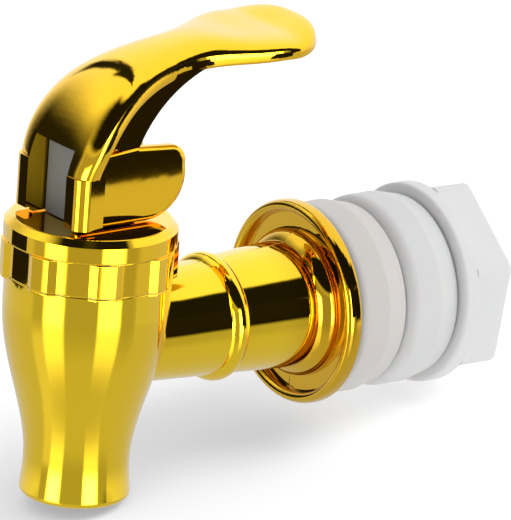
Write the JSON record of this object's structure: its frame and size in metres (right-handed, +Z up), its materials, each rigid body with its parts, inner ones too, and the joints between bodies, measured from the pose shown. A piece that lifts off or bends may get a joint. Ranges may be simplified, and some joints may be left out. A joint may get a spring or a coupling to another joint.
{
  "type": "beverage dispenser spigot",
  "caption": "Lever-operated spigot for a beverage dispenser: upright barrel with a spring-closed seat cup, side shank with flange, soft washers and hexagon nut.",
  "frame": {"origin": "on the shank's axis, in the clamp plane where the two washers meet the vessel's wall", "axes": "+Y along the shank towards the inside of the vessel, +Z up along the barrel, +X to the right seen from the barrel's side; the mirror plane is X = 0"},
  "size_m": [0.0358, 0.0992, 0.0813],
  "materials": {
    "gold_plating": "mirror-bright gold-coloured plating over plastic",
    "stem_plastic": "satin light grey plastic",
    "spring_steel": "drawn stainless wire",
    "silicone": "frosted translucent silicone",
    "frosted_plastic": "frosted off-white plastic"
  },
  "bodies": {
    "body": {"valve_body": "gold_plating", "screw_cap": "gold_plating", "seat_cup": "silicone", "front_washer": "silicone"},
    "swivel": {"return_spring": "spring_steel"},
    "stem": {"stem": "stem_plastic"},
    "lever": {"lever": "gold_plating"},
    "clamp": {"rear_washer": "silicone"},
    "nut": {"hex_nut": "frosted_plastic"}
  },
  "joints": [
    {"name": "lever_swivel", "type": "hinge", "parent": "body", "child": "swivel", "pos_m": [0, -0.0576, 0.0192], "axis": [0, 0, 1], "continuous": true},
    {"name": "stem_lift", "type": "slide", "parent": "swivel", "child": "stem", "axis": [0, 0, 1], "range_m": [0, 0.0026], "deforming": ["return_spring", "seat_cup"]},
    {"name": "lever_press", "type": "hinge", "parent": "stem", "child": "lever", "pos_m": [0, -0.0576, 0.028], "axis": [-1, 0, 0], "range_deg": [0, 22.9], "stiffness_Nm_per_rad": 0.073, "springref_deg": -26.36},
    {"name": "washer_slide", "type": "slide", "parent": "body", "child": "clamp", "axis": [0, 1, 0], "range_m": [0, 0.006]},
    {"name": "nut_turn", "type": "hinge", "parent": "clamp", "child": "nut", "pos_m": [0, 0.016, 0], "axis": [0, 1, 0], "range_deg": [0, 1080]}
  ],
  "couplings": [
    {"joint": "lever_press", "follows": "stem_lift", "rad_per_m": 153.7},
    {"joint": "nut_turn", "follows": "washer_slide", "rad_per_m": 3141.6}
  ]
}
